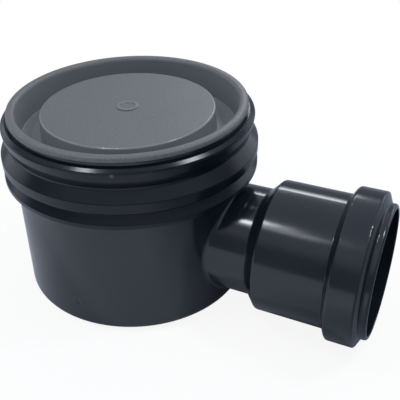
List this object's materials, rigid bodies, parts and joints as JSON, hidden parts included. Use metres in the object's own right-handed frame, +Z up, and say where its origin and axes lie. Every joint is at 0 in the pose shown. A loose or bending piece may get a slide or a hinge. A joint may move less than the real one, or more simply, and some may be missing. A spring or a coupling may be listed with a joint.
{
  "type": "shower drain trap body",
  "caption": "Round shower drain trap pot with a side outlet socket, a ringed rubber collar seal, a lift-out water-seal insert and a push-in blanking lid.",
  "frame": {"origin": "centre of the pot's flat base", "axes": "+Z up the pot's axis, +X along the outlet"},
  "size_m": [0.1649, 0.1086, 0.0861],
  "materials": {
    "body": "glossy moulded blue-black",
    "collar_rubber": "satin moulded rubber",
    "lid": "fine matte grey-black",
    "insert": "plain moulded",
    "seal_rubber": "plain rubber"
  },
  "bodies": {
    "trap": {"trap_body": "body", "collar_lip_seal": "collar_rubber", "trap_dip_tube": "insert", "trap_cup": "insert", "trap_flange_seal": "seal_rubber", "socket_lip_seal": "seal_rubber"},
    "lid": {"blanking_lid": "lid"}
  },
  "joints": [
    {"name": "lid_pull", "type": "slide", "parent": "trap", "child": "lid", "axis": [0, 0, 1], "range_m": [0, 0.04]}
  ]
}
